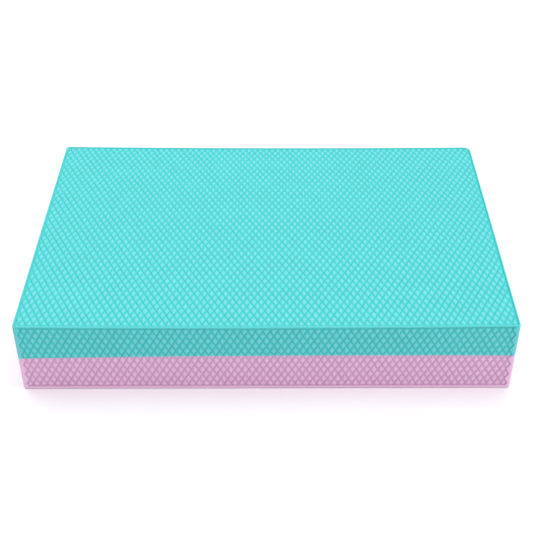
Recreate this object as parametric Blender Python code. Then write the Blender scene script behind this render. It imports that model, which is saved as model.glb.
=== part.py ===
"""A two-layer foam balance pad, as used for balance and physiotherapy exercises.

The pad is a rounded block of two closed-cell foam slabs of different colours, one on the other, held together
by a thin bond film that stops just short of the sides. It stands on z = 0 with its long side along X.
The embossed diamonds are a surface finish under a millimetre deep, so these solids leave them out.
"""

import bmesh
import bpy
from mathutils import Matrix, Vector

# Driving dimensions, in metres.
PAD_LENGTH = 0.345  # along X
PAD_WIDTH = 0.230  # along Y
PAD_HEIGHT = 0.060
LOWER_SHARE = 0.53  # the lower slab's part of the height

CORNER_RADIUS = 0.0025  # the four upright corners
HEAD_RADIUS = 0.0010  # the edges round the top
FOOT_RADIUS = 0.0020  # the edges round the bottom
CORNER_SEGMENTS = 6
EDGE_SEGMENTS = 4

BOND_THICKNESS = 0.0002
BOND_INSET = 0.0015  # from the sides to the film's edge
CLEARANCE = 0.0003  # the gap left between touching solids

# Worked out from those.
BOND_HEIGHT = PAD_HEIGHT * LOWER_SHARE  # the middle of the film
SLAB_GAP = BOND_THICKNESS / 2 + CLEARANCE  # from the film's middle to each slab


def clear_scene():
    for obj in list(bpy.data.objects):
        bpy.data.objects.remove(obj)


def new_collection(name):
    collection = bpy.data.collections.new(name)
    bpy.context.scene.collection.children.link(collection)
    return collection


def foam_material(name, colour):
    """Thermoplastic elastomer foam with a moulded skin: a satin, non-metallic surface."""
    material = bpy.data.materials.new(name)
    material.use_nodes = True
    shader = material.node_tree.nodes["Principled BSDF"]
    shader.inputs["Base Color"].default_value = (*colour, 1.0)
    shader.inputs["Roughness"].default_value = 0.55
    shader.inputs["Metallic"].default_value = 0.0
    return material


def adhesive_material(name):
    """A clear, slightly yellow film of set adhesive."""
    material = bpy.data.materials.new(name)
    material.use_nodes = True
    shader = material.node_tree.nodes["Principled BSDF"]
    shader.inputs["Base Color"].default_value = (0.80, 0.76, 0.62, 1.0)
    shader.inputs["Roughness"].default_value = 0.35
    shader.inputs["Metallic"].default_value = 0.0
    return material


def block(length, width, bottom, top, corner_radius):
    """A bmesh block centred on the Z axis, with its four upright corners rounded."""
    bm = bmesh.new()
    size = Matrix.Diagonal((length, width, top - bottom, 1.0))
    place = Matrix.Translation((0.0, 0.0, (top + bottom) / 2))
    bmesh.ops.create_cube(bm, size=1.0, matrix=place @ size)
    upright = [e for e in bm.edges if abs(e.verts[0].co.z - e.verts[1].co.z) > (top - bottom) / 2]
    bmesh.ops.bevel(
        bm,
        geom=upright,
        offset=corner_radius,
        segments=CORNER_SEGMENTS,
        profile=0.5,
        affect="EDGES",
        material=-1,
    )
    return bm


def round_over(bm, normal, radius):
    """Rounds the edges of the flat face that points along normal."""
    face = max(bm.faces, key=lambda f: f.calc_center_median().dot(normal))
    bmesh.ops.bevel(
        bm,
        geom=list(face.edges),
        offset=radius,
        segments=EDGE_SEGMENTS,
        profile=0.5,
        affect="EDGES",
        material=-1,
    )


def finish(bm, name, material, collection):
    """Turns the bmesh into a named object, shaded smooth apart from its sharp edges."""
    bmesh.ops.recalc_face_normals(bm, faces=bm.faces[:])
    mesh = bpy.data.meshes.new(name)
    bm.to_mesh(mesh)
    bm.free()
    mesh.shade_smooth()
    mesh.set_sharp_from_angle(angle=0.6)
    mesh.materials.append(material)
    obj = bpy.data.objects.new(name, mesh)
    collection.objects.link(obj)
    return obj


def lower_foam_layer(collection):
    """The slab that stands on the floor, with its bottom edges rounded."""
    bm = block(PAD_LENGTH, PAD_WIDTH, 0.0, BOND_HEIGHT - SLAB_GAP, CORNER_RADIUS)
    round_over(bm, Vector((0.0, 0.0, -1.0)), FOOT_RADIUS)
    return finish(bm, "lower_foam_layer", foam_material("pink_foam", (0.69, 0.36, 0.60)), collection)


def upper_foam_layer(collection):
    """The slab that is stood on, with its top edges rounded."""
    bm = block(PAD_LENGTH, PAD_WIDTH, BOND_HEIGHT + SLAB_GAP, PAD_HEIGHT, CORNER_RADIUS)
    round_over(bm, Vector((0.0, 0.0, 1.0)), HEAD_RADIUS)
    return finish(bm, "upper_foam_layer", foam_material("turquoise_foam", (0.05, 0.70, 0.64)), collection)


def bond_film(collection):
    """The adhesive between the two slabs."""
    half = BOND_THICKNESS / 2
    length = PAD_LENGTH - 2 * BOND_INSET
    width = PAD_WIDTH - 2 * BOND_INSET
    bm = block(length, width, BOND_HEIGHT - half, BOND_HEIGHT + half, CORNER_RADIUS - BOND_INSET)
    return finish(bm, "bond_film", adhesive_material("adhesive"), collection)


def main():
    clear_scene()
    pad = new_collection("balance_pad")
    lower_foam_layer(pad)
    bond_film(pad)
    upper_foam_layer(pad)


main()
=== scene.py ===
# %% [markdown]
# # A two-colour foam balance pad
#
# A balance pad is a soft slab that a person stands or kneels on to train balance. This one is a block of
# closed-cell foam in two colours, one slab glued on the other, and every face carries an embossed pattern
# of small diamonds for grip. The lesson builds it in the order in which a maker would think of it: the
# block, the smooth rim along each edge, the diamonds, the gentle unevenness of a soft product, the colour
# line, and then the look of the moulded foam.

# %% Load the frame
import math
import random

import bmesh
import bpy
from mathutils import Matrix, Vector


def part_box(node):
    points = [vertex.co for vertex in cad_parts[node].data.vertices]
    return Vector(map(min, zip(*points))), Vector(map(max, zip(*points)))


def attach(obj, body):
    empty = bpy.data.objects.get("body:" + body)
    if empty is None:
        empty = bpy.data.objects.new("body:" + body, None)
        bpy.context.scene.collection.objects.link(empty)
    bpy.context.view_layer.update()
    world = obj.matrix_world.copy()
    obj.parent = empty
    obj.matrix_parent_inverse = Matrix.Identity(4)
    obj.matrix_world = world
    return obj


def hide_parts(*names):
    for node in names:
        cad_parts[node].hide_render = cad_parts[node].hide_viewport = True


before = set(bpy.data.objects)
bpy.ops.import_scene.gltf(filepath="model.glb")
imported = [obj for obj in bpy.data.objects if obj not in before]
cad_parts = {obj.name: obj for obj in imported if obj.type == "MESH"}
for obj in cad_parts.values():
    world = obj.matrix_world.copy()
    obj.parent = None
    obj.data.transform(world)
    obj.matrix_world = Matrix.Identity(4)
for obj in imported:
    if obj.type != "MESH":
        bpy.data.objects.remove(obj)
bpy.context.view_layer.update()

MM = 0.001  # the scene is in metres, and a foam pad is thought of in millimetres

# %% [markdown]
# ## The camera
#
# The camera comes first, so that every later step can be looked at as it will be seen. It stands in front
# of the long side and looks down on the pad. It could be aimed with a Track To constraint, but three turns
# of a matrix say the same thing and leave nothing live in the scene.

# %% Camera
CAMERA_AZIMUTH = math.radians(0.53)
CAMERA_ELEVATION = math.radians(38.79)
CAMERA_ROLL = math.radians(-0.34)
CAMERA_DISTANCE = 0.7805
CAMERA_TARGET = Vector((-0.0006, 0.0, 0.0202))
LENS = 66.61  # millimetres, on a sensor 36 mm wide


def add_camera():
    data = bpy.data.cameras.new("camera")
    data.sensor_width = 36.0
    data.lens = LENS
    data.clip_start = 0.01
    camera = bpy.data.objects.new("camera", data)
    bpy.context.scene.collection.objects.link(camera)
    turn = Matrix.Rotation(CAMERA_AZIMUTH, 4, "Z")
    turn @= Matrix.Rotation(math.pi / 2 - CAMERA_ELEVATION, 4, "X")
    back = turn.to_3x3() @ Vector((0.0, 0.0, 1.0))
    turn @= Matrix.Rotation(CAMERA_ROLL, 4, "Z")
    camera.matrix_world = Matrix.Translation(CAMERA_TARGET + back * CAMERA_DISTANCE) @ turn
    bpy.context.scene.camera = camera
    return camera


camera = add_camera()
print("camera at", [round(x, 3) for x in camera.matrix_world.translation])

# %% [markdown]
# ## Colours and nodes
#
# Colours are written as the hex values that a colour picker shows, and one function turns them into the
# linear numbers that Blender's shaders expect. One more small function adds a node to a material, sets what
# it is given and links its inputs, so that a material reads as a short list.


# %% Two helpers for materials
def colour(hex_value):
    """A linear RGBA colour from an sRGB one, such as '#40c8c0'."""
    parts = [int(hex_value[i : i + 2], 16) / 255 for i in (1, 3, 5)]
    linear = [p / 12.92 if p <= 0.04045 else ((p + 0.055) / 1.055) ** 2.4 for p in parts]
    return (*linear, 1.0)


def add_node(tree, kind, settings=None, links=None):
    """Adds a node, sets its properties and unlinked inputs by name, and links its other inputs."""
    node = tree.nodes.new("ShaderNode" + kind)
    for name, value in (settings or {}).items():
        if isinstance(name, str) and hasattr(node, name):
            setattr(node, name, value)
        else:
            node.inputs[name].default_value = value
    for name, socket in (links or {}).items():
        tree.links.new(socket, node.inputs[name])
    return node


def new_material(name):
    """An empty node material, with its tree and its output node."""
    material = bpy.data.materials.new(name)
    material.use_nodes = True
    tree = material.node_tree
    tree.nodes.clear()
    return material, tree, add_node(tree, "OutputMaterial")


# %% [markdown]
# ## The studio
#
# The pad lies on a sheet of white acrylic in a white studio. The floor is so bright that it melts into the
# background, and all that it shows of the pad is a faint reflection of its front. A softbox far off on the
# right gives the diamonds their small shadows, a wide one overhead makes the top lighter than the front,
# and the white world fills the rest.

# %% Floor, lights and world
WORLD_STRENGTH = 0.57
KEY_POWER = 70.0  # watts
KEY_PLACE = (3.3, -1.0, 2.2)
KEY_SIZE = 1.35
TOP_POWER = 29.8
TOP_PLACE = (-0.2, 0.5, 1.9)
TOP_SIZE = 2.2
FLOOR_HALF_SIDE = 4.0
FLOOR_SHEEN = 0.12  # how much of the floor's light is mirrored and not scattered
FLOOR_ROUGHNESS = 0.3  # blurs the mirrored part


def add_floor():
    bm = bmesh.new()
    bmesh.ops.create_grid(bm, x_segments=1, y_segments=1, size=FLOOR_HALF_SIDE)
    mesh = bpy.data.meshes.new("floor")
    bm.to_mesh(mesh)
    bm.free()
    floor = bpy.data.objects.new("floor", mesh)
    bpy.context.scene.collection.objects.link(floor)
    material, tree, output = new_material("white_acrylic_sheet")
    matte = add_node(tree, "BsdfDiffuse", {"Color": colour("#ffffff")})
    gloss = add_node(tree, "BsdfGlossy", {"Color": colour("#ffffff"), "Roughness": FLOOR_ROUGHNESS})
    both = add_node(tree, "MixShader", {"Fac": FLOOR_SHEEN}, {1: matte.outputs[0], 2: gloss.outputs[0]})
    tree.links.new(both.outputs[0], output.inputs["Surface"])
    mesh.materials.append(material)
    return floor


def add_softbox(name, place, size, power):
    """A square area light that faces the pad."""
    data = bpy.data.lights.new(name, "AREA")
    data.size = size
    data.energy = power
    light = bpy.data.objects.new(name, data)
    light.location = place
    light.rotation_euler = (CAMERA_TARGET - Vector(place)).to_track_quat("-Z", "Y").to_euler()
    bpy.context.scene.collection.objects.link(light)
    return light


add_floor()
add_softbox("key_softbox", KEY_PLACE, KEY_SIZE, KEY_POWER)
add_softbox("top_softbox", TOP_PLACE, TOP_SIZE, TOP_POWER)
world = bpy.data.worlds.new("white_studio")
world.use_nodes = True
background = world.node_tree.nodes["Background"]
background.inputs["Color"].default_value = colour("#ffffff")
background.inputs["Strength"].default_value = WORLD_STRENGTH
bpy.context.scene.world = world
bpy.context.scene.view_settings.view_transform = "Standard"

# %% [markdown]
# ## Sizes
#
# The block's own size comes from the frame. What the frame leaves out is the skin: how wide the smooth rim
# is, how far apart the diamonds stand, and how deep the grooves between them are pressed.

# %% Sizes of the skin
low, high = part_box("lower_foam_layer")[0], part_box("upper_foam_layer")[1]
SIZE = high - low
MIDDLE = (high + low) / 2
BOND = (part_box("bond_film")[0].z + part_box("bond_film")[1].z) / 2

HEAD_RADIUS = 0.9 * MM  # of the edges round the top
FOOT_RADIUS = 1.8 * MM  # and round the underside
TIGHT_CORNER = 2.0 * MM
SOFT_CORNER = 6.0 * MM  # the one upright corner that came out rounder than the others
TOP_RIM = 1.0 * MM  # the smooth band round the diamonds of the top
BASE_RIM = 2.2 * MM  # and round those of the underside
HEAD_RIM = 1.05 * MM  # over the diamonds of a side
FOOT_RIM = 2.6 * MM  # under them
PAST_CURVE = 0.3 * MM  # what stays smooth beside the rounding of an upright corner

DIAMOND_WIDTH = 5.0 * MM
DIAMOND_LENGTH = 9.2 * MM
FIRST_ROW = 0.6  # where the rim cuts the first row, in half diamonds from its centre line
UNEVEN_LINES = 0.12 * MM  # how far a groove line strays from its place

BORDER_WALL = 0.5 * MM  # the width of the slope from the rim down into the outermost groove
HEAD_PAINTED_SHEEN = 0.45  # the painted sheen on the smooth skin of the upper half, from 0 (a groove's painted shade) to 1 (a diamond's)
FOOT_PAINTED_LIGHT = 1.0  # and on that of the lower half, painted full pale: painted light on the foot rim, as bounced up from the bright floor
# One row for each step from the groove's floor up to a diamond's top: width, rise, and the painted sheen it
# gets (0 keeps the groove's painted shade).
PILLOW_STEPS = (
    (0.12 * MM, 0.0, 0.0),
    (0.40 * MM, 0.44 * MM, 0.45),
    (0.90 * MM, 0.22 * MM, 0.75),
)
DOME = 0.10 * MM  # the rise from there to the middle of a diamond
SWELL = 0.10 * MM  # how much lower a diamond is at its tips than in its middle
FADE = 0.25  # how much less painted sheen it gets there, so that the painted highlight is an oval
GROOVE_DEPTH = sum(rise for _, rise, _ in PILLOW_STEPS) + DOME
PILLOW_INSET = sum(width for width, _, _ in PILLOW_STEPS)
SCALES = (1.0, 0.5)  # the smaller one is for the cells that a rim cuts short
WALL_SHARE = 0.88  # of a cell's inner radius, that its pillow's steps may take up
print("block", [round(x / MM, 1) for x in SIZE], "mm, grooves", round(GROOVE_DEPTH / MM, 2), "mm deep")

# %% [markdown]
# ## The block
#
# Both slabs are made as one block first, and parted at the end, because on the real pad the diamonds were
# embossed over the colour line after the slabs were glued. The block is a cube whose upright edges are
# bevelled one by one, since one corner is rounder than the rest, and then the edges round the top and the
# bottom.


# %% The rounded block
CORNER_SEGMENTS = 6
EDGE_SEGMENTS = 5


def bevel(bm, edges, radius, segments):
    bmesh.ops.bevel(
        bm,
        geom=edges,
        offset=radius,
        segments=segments,
        profile=0.5,
        affect="EDGES",
        material=-1,
    )


def flat_face(bm, direction):
    """The face that lies furthest along a direction."""
    return max(bm.faces, key=lambda f: f.calc_center_median().dot(direction))


def rounded_block():
    bm = bmesh.new()
    bmesh.ops.create_cube(bm, size=1.0, matrix=Matrix.Translation(MIDDLE) @ Matrix.Diagonal((*SIZE, 1.0)))
    for x, y in ((-1, -1), (1, -1), (-1, 1), (1, 1)):
        upright = [e for e in bm.edges if abs(e.verts[0].co.z - e.verts[1].co.z) > SIZE.z / 2]
        corner = max(upright, key=lambda e: e.verts[0].co.x * x + e.verts[0].co.y * y)
        bevel(bm, [corner], corner_radius(x, y), CORNER_SEGMENTS)
    for direction, radius in ((Vector((0, 0, 1)), HEAD_RADIUS), (Vector((0, 0, -1)), FOOT_RADIUS)):
        bevel(bm, list(flat_face(bm, direction).edges), radius, EDGE_SEGMENTS)
    return bm


def corner_radius(x, y):
    """The rounding of the upright corner on the side of x and y."""
    return SOFT_CORNER if x > 0 and y > 0 else TIGHT_CORNER


pad = rounded_block()
# Each point carries a painted-light value: 0 paints a groove's shade, 1 a diamond's sheen.
painted_light = pad.verts.layers.float.new("painted_light")
for vert in pad.verts:
    vert[painted_light] = HEAD_PAINTED_SHEEN if vert.co.z > MIDDLE.z else FOOT_PAINTED_LIGHT
print("block:", len(pad.faces), "faces")

# %% [markdown]
# ## Fields
#
# Each flat face has a field of diamonds with a smooth rim round it. The rim could be an inset, but an inset
# has the same width on all sides, and a field has to keep further from the round corner. So four cuts with
# a plane mark the field off, and a fifth takes off its corner at the round edge.


# %% Cut a field out of a flat face
ON_PLANE = 1e-6  # metres; a point that is nearer than this lies on the plane


def cut(bm, geom, point, normal):
    """Cuts part of the mesh along a plane and returns that part with its new faces, edges and points."""
    return bmesh.ops.bisect_plane(bm, geom=geom, dist=ON_PLANE, plane_co=point, plane_no=normal)["geom"]


def once_each(elements):
    """The elements without repeats, in their own order, which a set would change from run to run."""
    return list(dict.fromkeys(elements))


def parts_of(faces):
    """The faces with their edges and points, which is what a cut takes."""
    edges = once_each(e for f in faces for e in f.edges)
    verts = once_each(v for f in faces for v in f.verts)
    return [*faces, *edges, *verts]


def only_faces(geom):
    """The faces of a cut part, sorted by place, because a cut gives them back in no fixed order."""
    faces = [g for g in geom if isinstance(g, bmesh.types.BMFace)]
    return sorted(faces, key=lambda f: tuple(f.calc_center_median()))


def up_or_down(direction):
    return abs(direction.z) > 0.5


def margin(normal, toward):
    """How far a field stays from the block's outline on the side that lies toward a direction."""
    if up_or_down(normal):
        return TOP_RIM if normal.z > 0 else BASE_RIM
    if up_or_down(toward):
        return HEAD_RIM if toward.z > 0 else FOOT_RIM
    corner = normal + toward
    return corner_radius(corner.x, corner.y) + PAST_CURVE


def mark_field(bm, normal, across, along):
    """Cuts the field out of the flat face that looks along normal; returns its face and four borders."""
    face = flat_face(bm, normal)
    geom = parts_of([face])
    borders = []
    for direction in (across, along):
        half = abs(SIZE.dot(direction)) / 2
        borders.append(MIDDLE.dot(direction) - half + margin(normal, -direction))
        borders.append(MIDDLE.dot(direction) + half - margin(normal, direction))
        for place in borders[-2:]:
            geom = cut(bm, geom, direction * place, direction)
    if up_or_down(normal):
        past = SOFT_CORNER - (SOFT_CORNER - margin(normal, across)) * math.sqrt(0.5)
        geom = cut(bm, geom, high - Vector((past, past, 0)), Vector((1, 1, 0)).normalized())
    centre = across * (borders[0] + borders[1]) / 2 + along * (borders[2] + borders[3]) / 2
    field = min(
        only_faces(geom),
        key=lambda f: (f.calc_center_bounds() - f.calc_center_bounds().dot(normal) * normal - centre).length,
    )
    return field, borders


# %% [markdown]
# ## Diamonds
#
# The diamonds come from two sets of parallel grooves that cross. They could be copies of one small mesh,
# but then the rims would need fitting to them. Cutting the field along every groove line keeps the block
# one closed surface, and a cut is cheap. Each line strays a little, as on a roller cut by hand. The half
# diamonds beside an upright corner are left smooth, so the pattern ends there in a zigzag. The other cells
# are sunk together to the depth of the grooves, and each is raised again by itself, so that it stands as a
# soft pillow.


# %% Cut the grooves of one field
rng = random.Random(11)
SMALLEST_PART = 0.7  # of a diamond, for a cell beside an upright corner to be embossed
SHORT_SIDE = 0.5 * MM  # a cell's side shorter than this closes up to a point


def on_border(cell, direction, place):
    """True if a whole side of the cell lies on a border, and not just a tip."""
    return sum(abs(v.co.dot(direction) - place) < ON_PLANE for v in cell.verts) > 1


def cut_lattice(bm, field, borders, across, along, normal):
    """Cuts a field along its groove lines and returns the cells that will be embossed."""
    left, right, bottom, top = borders
    columns = round((right - left) / (DIAMOND_WIDTH / 2))
    rows = round((top - bottom) / (DIAMOND_LENGTH / 2) - 2 * FIRST_ROW)
    half_width = (right - left) / columns
    half_length = (top - bottom) / (rows + 2 * FIRST_ROW)
    height = field.calc_center_bounds().dot(normal)
    start = across * left + along * (top - FIRST_ROW * half_length) + normal * height
    geom = parts_of([field])
    for lean in (1, -1):
        slope = (across / half_width + along * lean / half_length).normalized()
        for line in range(-rows - 3, columns + rows + 4):
            if line % 2:
                place = line * half_width + rng.uniform(-UNEVEN_LINES, UNEVEN_LINES)
                geom = cut(bm, geom, start + across * place, slope)
    cells = []
    for cell in only_faces(geom):
        part = cell.calc_area() / (2 * half_width * half_length)
        at_side = any(on_border(cell, across, place) for place in (left, right))
        if up_or_down(normal) or part > SMALLEST_PART or not at_side:
            cells.append(cell)
    return cells


# %% Raise the pillows
DULLEST = 0.85  # of the full painted sheen, for a diamond that came out dull


def inner_radius(cell):
    """Roughly the radius of the largest circle that fits in a cell."""
    return 2 * cell.calc_area() / cell.calc_perimeter()


def raise_pillows(bm, cells, scale):
    """Raises each cell in steps, lower and with less painted sheen towards its tips, and no two quite alike.
    """
    centres = [cell.calc_center_bounds() for cell in cells]
    tones = [rng.uniform(DULLEST, 1.0) * scale for _ in cells]
    for width, rise, painted_sheen in PILLOW_STEPS:
        bmesh.ops.inset_individual(
            bm, faces=cells, thickness=width * scale, depth=rise * scale, use_even_offset=True
        )
        if painted_sheen == 0:
            continue
        # Each ring sinks towards the tips and gets its painted sheen, less towards the tips.
        for cell, centre, tone in zip(cells, centres, tones):
            normal = cell.normal.copy()
            for vert in cell.verts:
                out = vert.co - centre
                out -= normal * out.dot(normal)
                fall = (out.length / (DIAMOND_LENGTH / 2)) ** 2
                vert.co -= normal * (SWELL * fall * scale)
                vert[painted_light] = max(0.0, painted_sheen - FADE * fall) * tone
    tops = bmesh.ops.poke(bm, faces=cells, offset=DOME * scale)["verts"]
    # The middle of each diamond gets its full painted sheen.
    for vert, tone in zip(tops, tones):
        vert[painted_light] = tone


# %% Cut all six faces and sink their cells
X, Y, Z = Vector((1, 0, 0)), Vector((0, 1, 0)), Vector((0, 0, 1))
FACES = ((Z, X, Y), (-Z, X, Y), (-Y, X, Z), (Y, X, Z), (-X, Y, Z), (X, Y, Z))
cells = []
for normal, across, along in FACES:
    field, borders = mark_field(pad, normal, across, along)
    cells += cut_lattice(pad, field, borders, across, along, normal)
corners = once_each(v for cell in cells for v in cell.verts)
bmesh.ops.remove_doubles(pad, verts=corners, dist=SHORT_SIDE)
cells = [cell for cell in cells if cell.is_valid]
bmesh.ops.inset_region(
    pad,
    faces=cells,
    thickness=BORDER_WALL,
    depth=-GROOVE_DEPTH,
    use_boundary=True,
    use_even_offset=True,
)
# The sunk cells start at 0, the grooves' painted shade.
for cell in cells:
    for vert in cell.verts:
        vert[painted_light] = 0.0
print(len(cells), "diamonds and part diamonds")

# %% [markdown]
# ## Points to bend by
#
# A foam pad is never quite true, so the block will be bent a little at the end, and its colour line
# wanders. To bend smoothly, the long rims need points along their length, which more cuts give them. Only
# the smooth faces are cut, so that no line runs across a diamond.

# %% Points along the rims, then the pillows
SLICE = 11.5 * MM  # roughly, from one cut to the next
slices = round(SIZE.x / SLICE)
SLICE_PLACES = [low.x + SIZE.x * i / slices for i in range(1, slices)]
sunk = set(cells)
beside = {face for cell in cells for edge in cell.edges for face in edge.link_faces}
smooth = parts_of([face for face in pad.faces if face not in sunk and face not in beside])
for place in SLICE_PLACES:
    smooth = cut(pad, smooth, X * place, X)
groups = {scale: [] for scale in SCALES}
for cell in cells:
    fitting = [scale for scale in SCALES if PILLOW_INSET * scale < WALL_SHARE * inner_radius(cell)]
    if fitting:
        groups[fitting[0]].append(cell)
for scale, group in groups.items():
    raise_pillows(pad, group, scale)
    print(len(group), "pillows at scale", scale)

# %% [markdown]
# ## The colour line
#
# The two slabs meet at a surface that is nearly flat. Blender cuts along a plane only, so the block is
# first sheared upright until that wavy surface is flat, cut, closed, and sheared back. The cut face is
# sliced across before that, so that it can follow the wave.

# %% Part the slabs
BOND_TILT = 0.85 * MM  # the right end's height over the middle's, less the crown
BOND_CROWN = (1.85 * MM, 1.0 * MM)  # how far the middle stands over the ends, in front and behind
BOND_DROP = 0.90 * MM  # the ends' mean height under the frame's flat bond
SEAM_GAP = 0.01 * MM
TINY_EDGE = 5e-6  # metres; an edge shorter than this is closed up
film_low, film_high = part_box("bond_film")
FILM_THICKNESS = film_high.z - film_low.z


def bond_wave(x, y):
    """The height of the colour line over the frame's flat bond."""
    t = (x - MIDDLE.x) / (SIZE.x / 2)
    back = (y - low.y) / SIZE.y
    crown = BOND_CROWN[0] + (BOND_CROWN[1] - BOND_CROWN[0]) * back
    return BOND_TILT * t + crown * (1 - t * t) - BOND_DROP


def shear(bm, sign):
    """Lifts (sign 1) or lowers (sign -1) each point by the height of the colour line there."""
    for vert in bm.verts:
        vert.co.z += sign * bond_wave(vert.co.x, vert.co.y)


def slab(whole, side):
    """The pad over (side 1) or under (side -1) the colour line, closed, with a pocket for the film."""
    bm = whole.copy()
    shear(bm, -1)
    point = Z * (BOND + side * SEAM_GAP / 2)
    everything = [*bm.faces, *bm.edges, *bm.verts]
    rim = bmesh.ops.bisect_plane(
        bm, geom=everything, dist=ON_PLANE, plane_co=point, plane_no=Z * -side, clear_outer=True
    )["geom_cut"]
    closing = bmesh.ops.holes_fill(bm, edges=[e for e in rim if isinstance(e, bmesh.types.BMEdge)])["faces"]
    geom = parts_of(closing)
    for place in SLICE_PLACES:
        geom = cut(bm, geom, X * place, X)
    for place in (film_low.x, film_high.x):
        geom = cut(bm, geom, X * place, X)
    for place in (film_low.y, film_high.y):
        geom = cut(bm, geom, Y * place, Y)
    pocket = []
    for face in only_faces(geom):
        face.normal_update()
        middle = face.calc_center_median()
        if film_low.x < middle.x < film_high.x and film_low.y < middle.y < film_high.y:
            pocket.append(face)
    bmesh.ops.recalc_face_normals(bm, faces=bm.faces[:])
    depth = (FILM_THICKNESS - SEAM_GAP) / 2
    bmesh.ops.inset_region(bm, faces=pocket, thickness=depth, depth=-depth, use_boundary=True)
    shear(bm, 1)
    bmesh.ops.dissolve_degenerate(bm, dist=TINY_EDGE, edges=bm.edges[:])
    return bm


# %% [markdown]
# ## How the pad has settled
#
# A soft block doesn't keep the flat faces and straight edges that it was cut with. Its top hangs a little
# between its ends, its foot spreads, and this one is slightly narrower at its right end. Every piece is
# bent in the same way, as the last step before it becomes an object, so the slabs and the film still fit
# each other.

# %% Settle a piece and make it an object
TOP_SAG = 1.0 * MM  # in the middle of the length
END_TAPER = 0.0135  # of the width, by which the right end is narrower than the left
FOOT_SPREAD = 0.0058  # of the length, by which the foot is longer than the top
SHARP = math.radians(42)  # edges between faces that meet at more than this stay sharp


def settle(bm):
    """Bends a piece: its top hangs, its foot spreads and its right end is narrower."""
    for vert in bm.verts:
        t = (vert.co.x - MIDDLE.x) / (SIZE.x / 2)
        up = (vert.co.z - low.z) / SIZE.z
        vert.co.x += (vert.co.x - MIDDLE.x) * FOOT_SPREAD * (1 - up)
        vert.co.z -= TOP_SAG * up * (1 - t * t)
        vert.co.y -= (vert.co.y - MIDDLE.y) * END_TAPER * (1 + t) / 2


def to_object(bm, name):
    """Turns a bmesh into an object at the origin, smooth but for its sharp edges."""
    settle(bm)
    mesh = bpy.data.meshes.new(name)
    bm.to_mesh(mesh)
    bm.free()
    mesh.shade_smooth()
    mesh.set_sharp_from_angle(angle=SHARP)
    made = bpy.data.objects.new(name, mesh)
    bpy.context.scene.collection.objects.link(made)
    mesh.calc_loop_triangles()
    print(name, len(mesh.loop_triangles), "triangles")
    return made


upper_pad = to_object(slab(pad, 1), "upper_foam_pad")
lower_pad = to_object(slab(pad, -1), "lower_foam_pad")
pad.free()

# %% [markdown]
# ## The bond film
#
# Between the slabs is a thin film of set adhesive that stops just short of the sides. It follows the same
# wave, so it is a flat grid lifted to the colour line and given its thickness.


# %% Bond film
def make_film():
    bm = bmesh.new()
    middle = (film_low + film_high) / 2
    size = film_high - film_low
    place = Matrix.Translation((middle.x, middle.y, BOND)) @ Matrix.Diagonal((size.x, size.y, 1.0, 1.0))
    bmesh.ops.create_grid(bm, x_segments=slices, y_segments=2, size=0.5, matrix=place)
    for vert in bm.verts:
        vert.co.z += bond_wave(vert.co.x, vert.co.y) - FILM_THICKNESS / 2
    bmesh.ops.solidify(bm, geom=bm.faces[:], thickness=FILM_THICKNESS)
    bmesh.ops.recalc_face_normals(bm, faces=bm.faces[:])
    return to_object(bm, "bond_film_cured")


film = make_film()

# %% [markdown]
# ## Moulded foam
#
# The foam is a thermoplastic elastomer, blown into fine closed cells and pressed between hot embossed
# plates. The press leaves a soft satin skin. The diamonds are painted paler, a painted sheen, and the
# grooves deeper in colour, a painted shade; the value that each point carries says how much of each.
# The skin itself is slightly pebbled by the cells under it.


# %% Foam material
CLOUD_SIZE = 14 * MM  # the slow change of colour across the foam
PEBBLE_SIZE = 0.45 * MM  # the cells that show through the skin
PEBBLE_HEIGHT = 0.05 * MM


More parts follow.
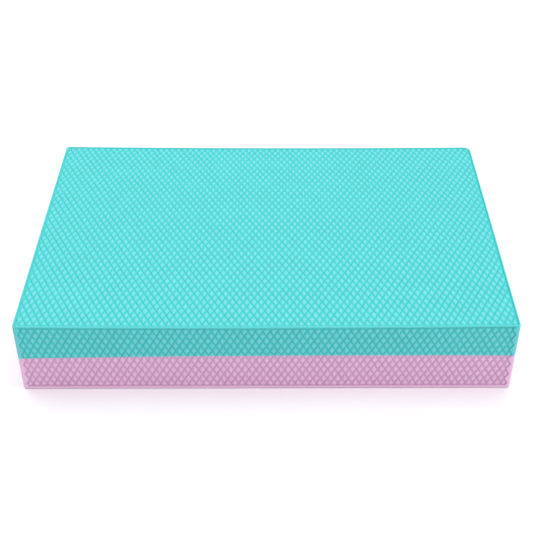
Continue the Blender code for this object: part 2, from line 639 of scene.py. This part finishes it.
def moulded_foam(name, groove, painted_sheen):
    """Embossed closed-cell elastomer foam: a satin skin, with a painted sheen on the diamonds and painted
    shade in the grooves.
    """
    material, tree, output = new_material(name)
    place = add_node(tree, "TexCoord").outputs["Object"]
    painted_light_value = add_node(tree, "Attribute", {"attribute_name": "painted_light"}).outputs["Fac"]
    cloudy = add_node(tree, "TexNoise", {"Scale": 1 / CLOUD_SIZE, "Detail": 2.0}, {"Vector": place})
    pebbles = add_node(tree, "TexNoise", {"Scale": 1 / PEBBLE_SIZE, "Detail": 3.0}, {"Vector": place})
    # Painted light: the groove colour is painted shade, the raised colour painted sheen, mixed by each
    # point's value.
    shade = add_node(
        tree, "Mix", {"data_type": "RGBA", 6: colour(groove), 7: colour(painted_sheen)}, {0: painted_light_value}
    )
    spread = add_node(
        tree,
        "MapRange",
        {"From Min": 0.3, "From Max": 0.7, "To Min": 0.98, "To Max": 1.02},
        {"Value": cloudy.outputs["Fac"]},
    )
    clouded = add_node(
        tree, "HueSaturation", {"Hue": 0.5}, {"Color": shade.outputs[2], "Value": spread.outputs["Result"]}
    )
    rough = add_node(
        tree,
        "MapRange",
        {"From Min": 0.3, "From Max": 0.7, "To Min": 0.46, "To Max": 0.58},
        {"Value": pebbles.outputs["Fac"]},
    )
    bump = add_node(
        tree, "Bump", {"Strength": 0.35, "Distance": PEBBLE_HEIGHT}, {"Height": pebbles.outputs["Fac"]}
    )
    shader = add_node(
        tree,
        "BsdfPrincipled",
        {"IOR": 1.48, "Metallic": 0.0},
        {
            "Base Color": clouded.outputs["Color"],
            "Roughness": rough.outputs["Result"],
            "Normal": bump.outputs["Normal"],
        },
    )
    tree.links.new(shader.outputs[0], output.inputs["Surface"])
    return material


# In each pair, the first colour is the grooves' painted shade and the second the diamonds' painted sheen.
upper_pad.data.materials.append(moulded_foam("turquoise_moulded_foam", "#1ec2bd", "#78cdd9"))
lower_pad.data.materials.append(moulded_foam("pink_moulded_foam", "#ce9bc2", "#e8bfe0"))


# %% Adhesive material
ROLLER_GRAIN = 3 * MM


def set_adhesive(name):
    """A film of set contact adhesive: clear, faintly yellow, with a slight unevenness from the roller."""
    material, tree, output = new_material(name)
    place = add_node(tree, "TexCoord").outputs["Object"]
    rolled = add_node(tree, "TexNoise", {"Scale": 1 / ROLLER_GRAIN, "Detail": 2.0}, {"Vector": place})
    shade = add_node(
        tree,
        "Mix",
        {"data_type": "RGBA", 6: colour("#e3dcc0"), 7: colour("#efe9d4")},
        {0: rolled.outputs["Fac"]},
    )
    shader = add_node(
        tree, "BsdfPrincipled", {"IOR": 1.47, "Roughness": 0.35}, {"Base Color": shade.outputs[2]}
    )
    tree.links.new(shader.outputs[0], output.inputs["Surface"])
    return material


film.data.materials.append(set_adhesive("set_contact_adhesive"))

# %% [markdown]
# ## Tie the pieces to the frame
#
# Each piece stands for one of the frame's plain solids and moves with the pad's only body.

# %% Pieces and frame
for piece, node, slot in (
    (upper_pad, "upper_foam_layer", "upper_foam"),
    (lower_pad, "lower_foam_layer", "lower_foam"),
    (film, "bond_film", "adhesive"),
):
    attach(piece, "root")
    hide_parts(node)
